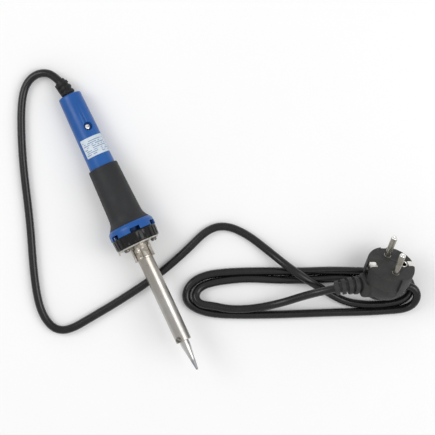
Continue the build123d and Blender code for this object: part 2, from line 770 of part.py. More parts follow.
def iron_parts():
    """Every piece of the iron in its own frame, except what is on the lead."""
    front, back = handle_shells()
    guide, inner_mica, winding, outer_mica = heater()
    return {
        "handle_shell_front": front,
        "handle_shell_back": back,
        "handle_screw": handle_screw(),
        "rating_label": rating_label(),
        "grip_sleeve": grip_sleeve(),
        "heat_shield_ring": heat_shield_ring(),
        "mounting_plate": mounting_plate(),
        "barrel_collar": barrel_collar(),
        "flange_screws": flange_screws(),
        "barrel": barrel(),
        "tip_bush": tip_bush(),
        "tip_lock_screw": tip_lock_screw(),
        "soldering_tip": soldering_tip(),
        "tip_guide_tube": guide,
        "mica_inner_sleeve": inner_mica,
        "heater_winding": winding,
        "mica_outer_sleeve": outer_mica,
        "ceramic_insulator": ceramic_insulator(),
        "heater_lead_live": heater_lead(-1),
        "heater_lead_neutral": heater_lead(1),
        "lead_sleeves": lead_sleeves(),
        "terminal_block": terminal_block(),
        "terminal_screws": terminal_screws(),
        "live_conductor": line_conductor(-1),
        "neutral_conductor": line_conductor(1),
        "earth_conductor": earth_conductor(),
        "earth_tag": earth_tag(),
        "cord_tie": cord_tie(),
    }


def lay_down(parts):
    """Location that rests the iron on the surface with its box centred."""
    tipped = Rot(0, -TILT, 0)
    widest = ("handle_shell_front", "handle_shell_back", "mounting_plate", "soldering_tip")
    box = Compound(children=[tipped * parts[name] for name in widest]).bounding_box()
    centre = box.center()
    return Pos(-centre.X, -centre.Y, -box.min.Z) * tipped


def main():
    os.makedirs("parts", exist_ok=True)
    parts = iron_parts()
    rest = lay_down(parts)
    parts["strain_relief"] = strain_relief()
    parts["cord_tail"] = cord_tail()
    nodes = {name: rest * shape for name, shape in parts.items()}
    nodes["mains_cord"] = mains_cord()
    nodes["plug_strain_relief"] = plug_strain_relief()
    nodes["plug_cord_tail"] = plug_cord_tail()
    nodes["plug_body"] = plug_body()
    nodes["plug_pin_live"] = plug_pin(-1)
    nodes["plug_pin_neutral"] = plug_pin(1)
    nodes["plug_pin_bridge"] = plug_pin_bridge()
    nodes["plug_earth_socket"] = plug_earth_socket()
    nodes["plug_earth_clips"] = plug_earth_clips()
    for name, shape in nodes.items():
        shape.label = name
        export_step(shape, f"parts/{name}.step")


main()
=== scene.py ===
import json
import math

import bpy
from mathutils import Matrix, Vector


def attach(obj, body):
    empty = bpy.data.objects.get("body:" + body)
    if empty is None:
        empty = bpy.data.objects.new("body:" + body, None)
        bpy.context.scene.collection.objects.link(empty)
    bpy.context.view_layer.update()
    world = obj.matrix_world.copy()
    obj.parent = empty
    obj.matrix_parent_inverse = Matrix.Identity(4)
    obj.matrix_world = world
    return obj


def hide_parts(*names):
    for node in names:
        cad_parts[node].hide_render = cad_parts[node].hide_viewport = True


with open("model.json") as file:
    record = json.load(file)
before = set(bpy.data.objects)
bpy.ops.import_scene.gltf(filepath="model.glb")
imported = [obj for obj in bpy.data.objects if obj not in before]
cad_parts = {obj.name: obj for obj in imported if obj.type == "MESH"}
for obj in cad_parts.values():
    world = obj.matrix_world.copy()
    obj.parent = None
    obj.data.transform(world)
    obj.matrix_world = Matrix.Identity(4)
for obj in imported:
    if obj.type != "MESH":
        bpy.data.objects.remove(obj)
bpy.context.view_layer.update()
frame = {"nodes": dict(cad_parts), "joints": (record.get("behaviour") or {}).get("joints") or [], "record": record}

# A mains soldering iron lying on a pale table with its lead and its right-angle
# earthed plug. The iron's own frame has +X along its axis from the rear of the
# handle to the tip, and the plug's own frame has +Z out of its face and +X along
# the line of its pins. Turned pieces are drawn in millimetres about +Z and laid
# in their places by own_frame's matrices.

MM = 0.001

# ---- places read from the frame ----
JOINTS = {joint["name"]: joint for joint in frame["joints"]}
MOUNTS = {mount["name"]: mount for mount in frame["record"]["mounts"]}
LOCK_SCREW_X = 205.0
LOCK_SCREW_MARK = 7.0 * MM
AXIS = Vector(JOINTS["tip_slide"]["axis"]).normalized()
LOCK_SCREW_OUT = Vector(JOINTS["lock_screw_turn"]["axis"]).normalized()
LOCK_SCREW = Vector(JOINTS["lock_screw_turn"]["pos_m"])
IRON_ORIGIN = LOCK_SCREW - LOCK_SCREW_OUT * LOCK_SCREW_MARK - AXIS * (LOCK_SCREW_X * MM)
PIN_MIDDLE = 9.1 * MM
FACE_NORMAL = Vector(MOUNTS["live_pin"]["axis"]).normalized()
LIVE_PIN = Vector(MOUNTS["live_pin"]["pos_m"]) - FACE_NORMAL * PIN_MIDDLE
NEUTRAL_PIN = Vector(MOUNTS["neutral_pin"]["pos_m"]) - FACE_NORMAL * PIN_MIDDLE


def own_frame(origin, x_dir, z_dir):
    """The matrix of a frame from its origin and two of its directions."""
    x_dir = (x_dir - z_dir * x_dir.dot(z_dir)).normalized()
    y_dir = z_dir.cross(x_dir)
    return Matrix.Translation(origin) @ Matrix((x_dir, y_dir, z_dir)).transposed().to_4x4()


UP = Vector((-AXIS.z, 0, AXIS.x))
IRON = own_frame(IRON_ORIGIN, AXIS, UP)
ALONG = own_frame(IRON_ORIGIN, UP, AXIS)
PLUG = own_frame((LIVE_PIN + NEUTRAL_PIN) / 2, NEUTRAL_PIN - LIVE_PIN, FACE_NORMAL)

# ---- handle and barrel, as in the CAD ----
REAR_R = 9.0
GRIP_START = 60.6
SHELL_R_AT_GRIP = 10.18
NECK_X = 102.3
FLANGE_BACK = 108.9
FLANGE_FRONT = 116.3
RING_FRONT = 125.1
PLATE_FRONT = 126.19
COLLAR_FRONT = 138.0
SEAM_ANGLE = 23
HANDLE_SCREW_X = 28.42
RECESS_R = 3.44
RECESS_FLOOR = 6.33
SCREW_CIRCLE = 12.94
SCREW_ANGLES = (-49, 71, 191)
LOCK_SCREW_ANGLE = -31
FLANGE_R = 18.28
PLATE_R = 16.29
COLLAR_R = 8.14
COLLAR_FINGERS = 8
BARREL_R = 6.02
BARREL_BORE_R = 5.48
TIP_R = 3.71

# ---- plug, as in the CAD ----
FACE_R = 18.7
PIN_SIDE = 9.5
PIN_R = 2.4
PIN_LENGTH = 19.0
EARTH_SIDE = 10
EARTH_R = 3.3
EARTH_BORE_R = 2.45
CABLE_DEPTH = -22.4

# ---- the lead ----
LEAD_DIAMETER = 6.2 * MM

# Control points of the lead's free stretch, in millimetres, from the end of the
# handle's relief to the end of the plug's relief.
LEAD_ROUTE = [
    (-127.8, -2.3, 7.8),
    (-134.4, -4.7, 7.1),
    (-139.2, -10.2, 5.9),
    (-140.4, -18.4, 4.1),
    (-136.6, -27.2, 3.15),
    (-126.8, -35.1, 3.15),
    (-109.1, -44, 3.15),
    (-81.5, -55.4, 3.15),
    (-40.8, -68.7, 3.15),
    (-4.4, -83, 3.15),
    (18.3, -89.9, 3.15),
    (32.9, -90.8, 3.15),
    (43.8, -86.8, 3.15),
    (48.4, -76.8, 3.15),
    (46.7, -57.7, 3.15),
    (44.3, -32.2, 3.15),
    (39.2, 2.2, 3.15),
    (31.3, 30.4, 3.15),
    (23.3, 51.5, 3.15),
    (26.1, 66.1, 3.15),
    (39.7, 78.2, 3.15),
    (59.4, 88.1, 5),
    (76.5, 96.6, 13.1),
    (91, 105.2, 13.1),
    (106, 115, 5.9),
    (118.7, 124, 3.15),
    (127.4, 136.3, 3.15),
    (133.8, 150.9, 3.15),
    (137.5, 164.6, 3.15),
    (134.8, 173.7, 3.15),
    (127, 177.3, 3.15),
    (119.2, 173.2, 3.15),
    (111.9, 162.7, 3.15),
    (102.6, 144.8, 3.15),
    (92.2, 124.1, 3.15),
    (82.3, 100.8, 3.15),
    (70.3, 76.4, 3.15),
    (59.8, 52.5, 3.15),
    (54.5, 36.2, 3.15),
    (54.8, 24.6, 3.15),
    (59.5, 16.8, 3.15),
    (67, 13.6, 3.15),
    (76, 18.4, 3.15),
    (84.6, 28.6, 3.15),
    (93.8, 46.5, 3.15),
    (104.3, 69.3, 3.15),
    (114.2, 92.5, 3.15),
    (123.8, 115, 3.15),
    (132.8, 135, 3.15),
    (139.8, 152.6, 3.15),
    (143.8, 163.8, 4.1),
    (143.2, 171.6, 6.3),
    (138.4, 177, 9),
    (131.4, 177, 10.9),
    (126.4, 171.2, 11.1),
    (122.3, 161.5, 6.4),
    (112.8, 147.2, 3.15),
    (101.4, 130.3, 3.15),
    (93.6, 110.3, 3.15),
    (82.6, 86.1, 3.15),
    (70.7, 64.3, 3.15),
    (65, 48.5, 3.15),
    (62.3, 38.9, 3.15),
    (61.1, 31, 3.15),
    (62.6, 24.6, 4.1),
    (67.1, 21, 6.3),
    (73.2, 22.6, 7.7),
    (78.2, 31, 7.7),
    (86, 41, 7.6),
    (93.6, 58.1, 7),
    (98.4, 78.8, 10),
    (99.9, 96.6, 19.8),
    (101.9, 110.7, 28.2),
    (104, 120.5, 29.7),
]


# ------------------------------------------------------------- shaping


def editing(piece):
    """Edit mode on that piece alone, with nothing selected in it."""
    bpy.ops.object.select_all(action="DESELECT")
    piece.select_set(True)
    bpy.context.view_layer.objects.active = piece
    bpy.ops.object.mode_set(mode="EDIT")
    bpy.ops.mesh.select_mode(type="EDGE")
    bpy.ops.mesh.select_all(action="DESELECT")


def turn(name, outline, sides=72, closed=False):
    """A turned piece about +Z, ring by ring along its outline of (height, radius)."""
    bpy.ops.object.select_all(action="DESELECT")
    height, radius = outline[0]
    bpy.ops.mesh.primitive_circle_add(vertices=sides, radius=radius, location=(0, 0, height))
    piece = bpy.context.active_object
    piece.name = name
    bpy.ops.object.transform_apply()
    editing(piece)
    bpy.ops.mesh.select_all(action="SELECT")
    rings = outline[1:] + outline[:1] if closed else outline[1:]
    for (z0, r0), (z1, r1) in zip(outline, rings):
        bpy.ops.mesh.extrude_region_move(TRANSFORM_OT_translate={"value": (0, 0, z1 - z0)})
        bpy.ops.transform.resize(value=(r1 / r0, r1 / r0, 1), center_override=(0, 0, z1))
    if not closed:
        bpy.ops.mesh.edge_face_add()
        bpy.ops.mesh.select_all(action="DESELECT")
        bpy.ops.mesh.select_non_manifold()
        bpy.ops.mesh.edge_face_add()
    close_up()
    return piece


def close_up():
    """Merges doubles, points the faces outwards and leaves edit mode."""
    bpy.ops.mesh.select_all(action="SELECT")
    bpy.ops.mesh.remove_doubles(threshold=0.0005)
    bpy.ops.mesh.normals_make_consistent(inside=False)
    bpy.ops.object.mode_set(mode="OBJECT")


def block(size, centre, turned=0.0):
    """A box of that size at that place, then turned about +Z by that many degrees."""
    bpy.ops.object.select_all(action="DESELECT")
    bpy.ops.mesh.primitive_cube_add(size=1, location=centre)
    piece = bpy.context.active_object
    piece.scale = size
    bpy.ops.object.transform_apply()
    piece.data.transform(Matrix.Rotation(math.radians(turned), 4, "Z"))
    return piece


def rod(radius, low, high, matrix, sides=32):
    """A rod along +Z from low to high, laid with that matrix."""
    bpy.ops.object.select_all(action="DESELECT")
    bpy.ops.mesh.primitive_cylinder_add(
        vertices=sides, radius=radius, depth=high - low, location=(0, 0, (low + high) / 2)
    )
    piece = bpy.context.active_object
    bpy.ops.object.transform_apply()
    piece.data.transform(matrix)
    return piece


def spoke(height, angle):
    """Matrix of a rod that points away from the axis at that angle."""
    return (
        Matrix.Rotation(math.radians(-angle), 4, "Z")
        @ Matrix.Translation((0, 0, height))
        @ Matrix.Rotation(math.radians(90), 4, "Y")
    )


def beside(distance, angle):
    """Matrix of a rod parallel to the axis, at that distance and angle."""
    return Matrix.Rotation(math.radians(-angle), 4, "Z") @ Matrix.Translation((distance, 0, 0))


def combine(piece, tools, operation="DIFFERENCE"):
    """Cuts the tools away from the piece, or joins them to it."""
    for tool in tools:
        modifier = piece.modifiers.new("tool", "BOOLEAN")
        modifier.operation = operation
        modifier.solver = "EXACT"
        modifier.object = tool
        bpy.context.view_layer.objects.active = piece
        bpy.ops.object.modifier_apply(modifier=modifier.name)
        bpy.data.objects.remove(tool)
    return piece


def join(pieces, name):
    """Makes one object of pieces that stay apart from each other."""
    bpy.ops.object.select_all(action="DESELECT")
    for piece in pieces:
        piece.select_set(True)
    bpy.context.view_layer.objects.active = pieces[0]
    bpy.ops.object.join()
    pieces[0].name = name
    return pieces[0]


def soften(piece, width, segments=2, angle=35):
    """Rounds the sharp edges and smooths the rest."""
    modifier = piece.modifiers.new("edges", "BEVEL")
    modifier.width = width
    modifier.segments = segments
    modifier.limit_method = "ANGLE"
    modifier.angle_limit = math.radians(angle)
    modifier.use_clamp_overlap = True
    bpy.ops.object.select_all(action="DESELECT")
    piece.select_set(True)
    bpy.context.view_layer.objects.active = piece
    bpy.ops.object.modifier_apply(modifier=modifier.name)
    bpy.ops.object.shade_smooth_by_angle(angle=math.radians(angle))
    return piece


def fit(piece, place, body, nodes, material):
    """Lays a finished piece in its place and ties it to the frame."""
    piece.data.transform(place @ Matrix.Scale(MM, 4))
    piece.data.materials.clear()
    piece.data.materials.append(material)
    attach(piece, body)
    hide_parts(*nodes)
    return piece


# ------------------------------------------------------------- finishes


def group_output(name, inputs):
    """An empty node group with those float inputs and one float output."""
    group = bpy.data.node_groups.new(name, "ShaderNodeTree")
    for label, value in inputs:
        socket = group.interface.new_socket(name=label, in_out="INPUT", socket_type="NodeSocketFloat")
        socket.default_value = value
    group.interface.new_socket(name="Value", in_out="OUTPUT", socket_type="NodeSocketFloat")
    return group, group.nodes.new("NodeGroupInput"), group.nodes.new("NodeGroupOutput")


def cloudy_group():
    """Soft, uneven patches from 0 to 1, for handling marks, dust and colour drift."""
    group, given, out = group_output("cloudy", [("Scale", 60.0), ("Sharpness", 0.3)])
    place = group.nodes.new("ShaderNodeTexCoord")
    noise = group.nodes.new("ShaderNodeTexNoise")
    noise.inputs["Detail"].default_value = 5
    noise.inputs["Roughness"].default_value = 0.62
    low = group.nodes.new("ShaderNodeMath")
    low.operation = "SUBTRACT"
    low.inputs[0].default_value = 0.5
    spread = group.nodes.new("ShaderNodeMath")
    spread.operation = "SUBTRACT"
    spread.inputs[0].default_value = 0.5
    half = group.nodes.new("ShaderNodeMath")
    half.operation = "ADD"
    half.inputs[0].default_value = 0.5
    ramp = group.nodes.new("ShaderNodeMapRange")
    links = group.links
    links.new(place.outputs["Object"], noise.inputs["Vector"])
    links.new(given.outputs["Scale"], noise.inputs["Scale"])
    links.new(given.outputs["Sharpness"], spread.inputs[1])
    links.new(spread.outputs[0], low.inputs[1])
    links.new(spread.outputs[0], half.inputs[1])
    links.new(noise.outputs["Fac"], ramp.inputs["Value"])
    links.new(low.outputs[0], ramp.inputs["From Min"])
    links.new(half.outputs[0], ramp.inputs["From Max"])
    links.new(ramp.outputs["Result"], out.inputs["Value"])
    return group


def fine_grain_group():
    """Fine moulded or spark-eroded grain, as a height from 0 to 1."""
    group, given, out = group_output("fine_grain", [("Scale", 1400.0), ("Coarse", 0.3)])
    place = group.nodes.new("ShaderNodeTexCoord")
    fine = group.nodes.new("ShaderNodeTexNoise")
    fine.inputs["Detail"].default_value = 3
    cells = group.nodes.new("ShaderNodeTexVoronoi")
    mix = group.nodes.new("ShaderNodeMix")
    links = group.links
    links.new(place.outputs["Object"], fine.inputs["Vector"])
    links.new(place.outputs["Object"], cells.inputs["Vector"])
    links.new(given.outputs["Scale"], fine.inputs["Scale"])
    links.new(given.outputs["Scale"], cells.inputs["Scale"])
    links.new(given.outputs["Coarse"], mix.inputs["Factor"])
    links.new(fine.outputs["Fac"], mix.inputs["A"])
    links.new(cells.outputs["Distance"], mix.inputs["B"])
    links.new(mix.outputs["Result"], out.inputs["Value"])
    return group


def own_place_group(name, matrix):
    """Object coordinates as millimetres in the iron's or the plug's own frame."""
    group = bpy.data.node_groups.new(name, "ShaderNodeTree")
    for label in ("Along", "Side", "Top", "Angle"):
        group.interface.new_socket(name=label, in_out="OUTPUT", socket_type="NodeSocketFloat")
    place = group.nodes.new("ShaderNodeTexCoord")
    mapping = group.nodes.new("ShaderNodeMapping")
    mapping.vector_type = "TEXTURE"
    mapping.inputs["Location"].default_value = matrix.translation
    mapping.inputs["Rotation"].default_value = matrix.to_euler()
    mapping.inputs["Scale"].default_value = (MM, MM, MM)
    parts = group.nodes.new("ShaderNodeSeparateXYZ")
    angle = group.nodes.new("ShaderNodeMath")
    angle.operation = "ARCTAN2"
    out = group.nodes.new("NodeGroupOutput")
    links = group.links
    links.new(place.outputs["Object"], mapping.inputs["Vector"])
    links.new(mapping.outputs["Vector"], parts.inputs["Vector"])
    links.new(parts.outputs["X"], out.inputs["Along"])
    links.new(parts.outputs["Y"], out.inputs["Side"])
    links.new(parts.outputs["Z"], out.inputs["Top"])
    links.new(parts.outputs["Y"], angle.inputs[0])
    links.new(parts.outputs["Z"], angle.inputs[1])
    links.new(angle.outputs[0], out.inputs["Angle"])
    return group


CLOUDY = cloudy_group()
FINE_GRAIN = fine_grain_group()
IRON_PLACE = own_place_group("iron_place", IRON)
PLUG_PLACE = own_place_group("plug_place", PLUG)


class Finish:
    """A material with cloudy colour, cloudy roughness and a fine grain.

    rough is the lowest and highest roughness, and grain is the grain's scale, its
    depth in millimetres and its share of coarse cells.
    """

    def __init__(self, name, colours, rough, grain, metallic=0.0, patches=60, sharp=0.3, specular=0.5):
        self.material = bpy.data.materials.new(name)
        self.material.use_nodes = True
        self.tree = self.material.node_tree
        self.shader = self.tree.nodes["Principled BSDF"]
        self.shader.inputs["Metallic"].default_value = metallic
        self.shader.inputs["Specular IOR Level"].default_value = specular
        patch = self.add_group(CLOUDY, Scale=patches, Sharpness=sharp)
        self.colour = self.tree.nodes.new("ShaderNodeMix")
        self.colour.data_type = "RGBA"
        self.colour.inputs["A"].default_value = (*colours[0], 1)
        self.colour.inputs["B"].default_value = (*colours[1], 1)
        self.link(patch.outputs["Value"], self.colour.inputs["Factor"])
        self.link(self.colour.outputs["Result"], self.shader.inputs["Base Color"])
        marks = self.add_group(CLOUDY, Scale=patches * 4.3, Sharpness=sharp)
        gloss = self.map_to(marks.outputs["Value"], 0, 1, rough[0], rough[1])
        self.link(gloss, self.shader.inputs["Roughness"])
        height = self.add_group(FINE_GRAIN, Scale=grain[0], Coarse=grain[2])
        self.bump = self.tree.nodes.new("ShaderNodeBump")
        self.bump.inputs["Strength"].default_value = 0.6
        self.bump.inputs["Distance"].default_value = grain[1] * MM
        self.link(height.outputs["Value"], self.bump.inputs["Height"])
        self.link(self.bump.outputs["Normal"], self.shader.inputs["Normal"])

    def link(self, start, end):
        self.tree.links.new(start, end)

    def add_group(self, group, **values):
        node = self.tree.nodes.new("ShaderNodeGroup")
        node.node_tree = group
        for label, value in values.items():
            node.inputs[label].default_value = value
        return node

    def math(self, operation, first, second=0.0):
        """A Math node on sockets or numbers."""
        node = self.tree.nodes.new("ShaderNodeMath")
        node.operation = operation
        for socket, value in zip(node.inputs, (first, second)):
            if isinstance(value, (int, float)):
                socket.default_value = value
            else:
                self.link(value, socket)
        return node.outputs[0]

    def map_to(self, value, low, high, new_low, new_high):
        """A value's range turned into another, clamped."""
        node = self.tree.nodes.new("ShaderNodeMapRange")
        self.link(value, node.inputs["Value"])
        ends = {"From Min": low, "From Max": high, "To Min": new_low, "To Max": new_high}
        for label, number in ends.items():
            node.inputs[label].default_value = number
        return node.outputs["Result"]

    def tint(self, mask, colour):
        """Lays a colour over what is there, where the mask is 1."""
        source = self.shader.inputs["Base Color"].links[0].from_socket
        node = self.tree.nodes.new("ShaderNodeMix")
        node.data_type = "RGBA"
        node.inputs["B"].default_value = (*colour, 1)
        self.link(mask, node.inputs["Factor"])
        self.link(source, node.inputs["A"])
        self.link(node.outputs["Result"], self.shader.inputs["Base Color"])

    def relief(self, height, distance, strength=1.0):
        """A second bump under the grain."""
        node = self.tree.nodes.new("ShaderNodeBump")
        node.inputs["Strength"].default_value = strength
        node.inputs["Distance"].default_value = distance * MM
        self.link(height, node.inputs["Height"])
        self.link(node.outputs["Normal"], self.bump.inputs["Normal"])

    def rough_by(self, mask, extra):
        """Adds to the roughness where the mask is 1."""
        source = self.shader.inputs["Roughness"].links[0].from_socket
        more = self.math("MULTIPLY", mask, extra)
        self.link(self.math("ADD", source, more), self.shader.inputs["Roughness"])


def blue_plastic():
    """Moulded blue plastic, satin, with faint handling marks."""
    return Finish(
        "blue_plastic",
        [(0.008, 0.078, 0.3), (0.014, 0.1, 0.345)],
        (0.28, 0.4),
        (1500, 0.03, 0.4),
        patches=45,
        specular=0.35,
    ).material


def grip_rubber():
    """Charcoal rubber with a soft sheen and a fine moulded grain."""
    return Finish(
        "grip_rubber",
        [(0.016, 0.0165, 0.018), (0.023, 0.024, 0.0255)],
        (0.5, 0.64),
        (2200, 0.06, 0.5),
        patches=70,
        specular=0.32,
    ).material


def lead_rubber():
    """Dark flexible sheath with a satin highlight and rub marks."""
    return Finish(
        "lead_rubber",
        [(0.0045, 0.0045, 0.005), (0.009, 0.009, 0.0095)],
        (0.2, 0.34),
        (1800, 0.03, 0.4),
        patches=90,
        specular=0.42,
    ).material


def plug_rubber():
    """Matte moulded rubber, a little dusty."""
    return Finish(
        "plug_rubber",
        [(0.022, 0.022, 0.022), (0.034, 0.034, 0.033)],
        (0.5, 0.66),
        (1300, 0.1, 0.6),
        patches=80,
        specular=0.3,
    ).material


def relief_rubber():
    """Soft black rubber of the handle's relief."""
    return Finish(
        "relief_rubber",
        [(0.008, 0.008, 0.0085), (0.014, 0.014, 0.015)],
        (0.4, 0.55),
        (1500, 0.06, 0.5),
        patches=120,
        specular=0.3,
    ).material


def phenolic():
    """Near-black pressed resin, glossy, with faint patches."""
    return Finish(
        "phenolic",
        [(0.004, 0.004, 0.004), (0.009, 0.008, 0.008)],
        (0.14, 0.26),
        (900, 0.02, 0.3),
        patches=110,
        specular=0.3,
    ).material


def drawn_steel():
    """Drawn tube: fine lines round it, warmed by heat near its root, dulled at its mouth."""
    finish = Finish(
        "drawn_steel",
        [(0.4, 0.385, 0.36), (0.5, 0.485, 0.46)],
        (0.27, 0.38),
        (600, 0.012, 0.2),
        metallic=1.0,
        patches=55,
    )
    place = finish.add_group(IRON_PLACE)
    lines = finish.tree.nodes.new("ShaderNodeTexNoise")
    lines.noise_dimensions = "1D"
    lines.inputs["Scale"].default_value = 9
    lines.inputs["Detail"].default_value = 4
    finish.link(place.outputs["Along"], lines.inputs["W"])
    finish.relief(lines.outputs["Fac"], 0.012, 0.5)
    warm = finish.map_to(place.outputs["Along"], 126, 175, 0.55, 0)
    finish.tint(warm, (0.36, 0.31, 0.25))
    soot = finish.map_to(place.outputs["Along"], 196, 207, 0, 0.35)
    finish.tint(soot, (0.42, 0.38, 0.33))
    return finish.material


def hammered_steel():
    """The collar: warm plated steel with small dimples."""
    finish = Finish(
        "hammered_steel",
        [(0.26, 0.23, 0.19), (0.6, 0.56, 0.5)],
        (0.2, 0.38),
        (900, 0.02, 0.3),
        metallic=1.0,
        patches=260,
        sharp=0.35,
    )
    dimples = finish.tree.nodes.new("ShaderNodeTexVoronoi")
    dimples.feature = "SMOOTH_F1"
    dimples.inputs["Scale"].default_value = 620
    place = finish.tree.nodes.new("ShaderNodeTexCoord")
    finish.link(place.outputs["Object"], dimples.inputs["Vector"])
    finish.relief(dimples.outputs["Distance"], 0.22, 0.9)
    return finish.material


def plate_steel():
    """Plain steel sheet, lightly marked."""
    return Finish(
        "plate_steel",
        [(0.5, 0.48, 0.44), (0.66, 0.64, 0.6)],
        (0.22, 0.38),
        (700, 0.02, 0.3),
        metallic=1.0,
        patches=130,
    ).material


def bright_steel():
    """Clean, bright steel of the handle's screw and the parts in the barrel."""
    return Finish(
        "bright_steel",
        [(0.62, 0.61, 0.59), (0.74, 0.73, 0.71)],
        (0.18, 0.3),
        (900, 0.01, 0.3),
        metallic=1.0,
    ).material


def dark_screw_steel():
    """Blackened screws, worn brighter in patches."""
    return Finish(
        "dark_screw_steel",
        [(0.09, 0.085, 0.08), (0.24, 0.23, 0.21)],
        (0.28, 0.45),
        (900, 0.02, 0.3),
        metallic=1.0,
        patches=420,
    ).material


def plated_tip():
    """Bright plated shank and cone, with a dull, tinned and scorched point."""
    finish = Finish(
        "plated_tip",
        [(0.5, 0.495, 0.485), (0.62, 0.615, 0.6)],
        (0.24, 0.34),
        (800, 0.015, 0.3),
        metallic=1.0,
    )
    place = finish.add_group(IRON_PLACE)
    uneven = finish.add_group(CLOUDY, Scale=260, Sharpness=0.1)
    wander = finish.math("MULTIPLY", uneven.outputs["Value"], 1.6)
    shifted = finish.math("ADD", place.outputs["Along"], wander)
    tinned = finish.map_to(shifted, 222.5, 224.5, 0, 1)
    finish.tint(tinned, (0.33, 0.34, 0.36))
    finish.rough_by(tinned, 0.22)
    return finish.material


def contact_nickel():
    """Contact pins: darker along their sides, much lighter at their ends."""
    finish = Finish(
        "contact_nickel",
        [(0.26, 0.25, 0.21), (0.46, 0.445, 0.4)],
        (0.16, 0.32),
        (1500, 0.012, 0.2),
        metallic=1.0,
        patches=190,
    )
    place = finish.add_group(PLUG_PLACE)
    # The pins are tinted much lighter over their last millimetre or so, towards their ends.
    light_end_band = finish.map_to(place.outputs["Top"], PIN_LENGTH - 1.2, PIN_LENGTH - 0.7, 0, 1)
    finish.tint(light_end_band, (0.86, 0.85, 0.82))
    return finish.material


def bright_nickel():
    """Earth sleeve and clips: bright in front, with painted shade turning them near black down in the recesses."""
    finish = Finish(
        "bright_nickel",
        [(0.72, 0.7, 0.65), (0.86, 0.84, 0.8)],
        (0.16, 0.28),
        (1500, 0.012, 0.2),
        metallic=1.0,
        patches=190,
    )
    place = finish.add_group(PLUG_PLACE)
    # Painted shade: below the face the sleeve and clip strips are tinted near black, standing in for shade inside
    # the housing.
    recess_painted_shade = finish.map_to(place.outputs["Top"], -2.4, -1.0, 1, 0)
    finish.tint(recess_painted_shade, (0.07, 0.068, 0.062))
    return finish.material


def label_film():
    """Pale sticker with rows of generic bars."""
    finish = Finish(
        "label_film", [(0.46, 0.54, 0.6), (0.62, 0.69, 0.75)], (0.25, 0.36), (800, 0.01, 0.3), patches=80
    )
    place = finish.add_group(IRON_PLACE)
    row_height = 1.45
    cell_width = 1.5
    row = finish.math("DIVIDE", place.outputs["Along"], row_height)
    round_mm = finish.math("MULTIPLY", place.outputs["Angle"], 10.0)
    cell = finish.math("DIVIDE", round_mm, cell_width)
    dash = finish.tree.nodes.new("ShaderNodeCombineXYZ")
    finish.link(finish.math("FLOOR", row), dash.inputs["X"])
    finish.link(finish.math("FLOOR", cell), dash.inputs["Y"])
    chance = finish.tree.nodes.new("ShaderNodeTexWhiteNoise")
    chance.noise_dimensions = "2D"
    finish.link(dash.outputs["Vector"], chance.inputs["Vector"])
    inked = finish.math("GREATER_THAN", chance.outputs["Value"], 0.42)
    bars = finish.math("MULTIPLY", inked, finish.math("LESS_THAN", finish.math("FRACT", row), 0.42))
    for value, low, high in ((round_mm, -7.0, 16.0), (place.outputs["Along"], 38.3, 50.2)):
        bars = finish.math("MULTIPLY", bars, finish.math("GREATER_THAN", value, low))
        bars = finish.math("MULTIPLY", bars, finish.math("LESS_THAN", value, high))
    finish.tint(finish.math("MULTIPLY", bars, 0.75), (0.05, 0.12, 0.3))
    return finish.material


def plain_inner(name, first, second, rough, metallic=0.0):
    """A finish for the pieces that the shells close in."""
    grain = (900, 0.03, 0.4)
    return Finish(name, [first, second], rough, grain, metallic=metallic, patches=160).material


BLUE = blue_plastic()
GRIP = grip_rubber()
LEAD = lead_rubber()
PLUG_RUBBER = plug_rubber()
RELIEF = relief_rubber()
PHENOLIC = phenolic()
DRAWN_STEEL = drawn_steel()
HAMMERED = hammered_steel()
PLATE_STEEL = plate_steel()
BRIGHT_STEEL = bright_steel()
DARK_STEEL = dark_screw_steel()
TIP_METAL = plated_tip()
CONTACT_NICKEL = contact_nickel()
BRIGHT_NICKEL = bright_nickel()
LABEL = label_film()

INNER = {
    "brass": plain_inner("brass", (0.55, 0.38, 0.14), (0.7, 0.52, 0.22), (0.2, 0.35), 1.0),
    "brown_pvc": plain_inner("brown_pvc", (0.11, 0.045, 0.02), (0.15, 0.06, 0.03), (0.35, 0.5)),
    "blue_pvc": plain_inner("blue_pvc", (0.03, 0.14, 0.42), (0.04, 0.18, 0.5), (0.35, 0.5)),
    "green_pvc": plain_inner("green_pvc", (0.16, 0.36, 0.05), (0.24, 0.46, 0.06), (0.35, 0.5)),
    "nylon": plain_inner("nylon", (0.6, 0.58, 0.5), (0.7, 0.68, 0.62), (0.4, 0.55)),
    "ceramic": plain_inner("ceramic", (0.66, 0.62, 0.54), (0.78, 0.75, 0.68), (0.45, 0.65)),
    "mica": plain_inner("mica", (0.34, 0.29, 0.2), (0.5, 0.45, 0.34), (0.3, 0.5)),
    "heater_wire": plain_inner("heater_wire", (0.22, 0.2, 0.18), (0.36, 0.34, 0.31), (0.4, 0.6), 1.0),
    "glass_fibre": plain_inner("glass_fibre", (0.62, 0.58, 0.48), (0.76, 0.73, 0.64), (0.6, 0.8)),
}
CAD_FINISHES = {
    "rating_label": LABEL,
    "tip_bush": BRIGHT_STEEL,
    "tip_guide_tube": BRIGHT_STEEL,
    "mica_inner_sleeve": INNER["mica"],
    "mica_outer_sleeve": INNER["mica"],
    "heater_winding": INNER["heater_wire"],
    "heater_lead_live": INNER["heater_wire"],
    "heater_lead_neutral": INNER["heater_wire"],
    "ceramic_insulator": INNER["ceramic"],
    "lead_sleeves": INNER["glass_fibre"],
    "terminal_block": INNER["ceramic"],
    "terminal_screws": INNER["brass"],
    "live_conductor": INNER["brown_pvc"],
    "neutral_conductor": INNER["blue_pvc"],
    "earth_conductor": INNER["green_pvc"],
    "earth_tag": INNER["brass"],
    "cord_tie": INNER["nylon"],
    "cord_tail": LEAD,
    "plug_cord_tail": LEAD,
    "plug_pin_bridge": INNER["nylon"],
}

# --------------------------------------------------------------- pieces


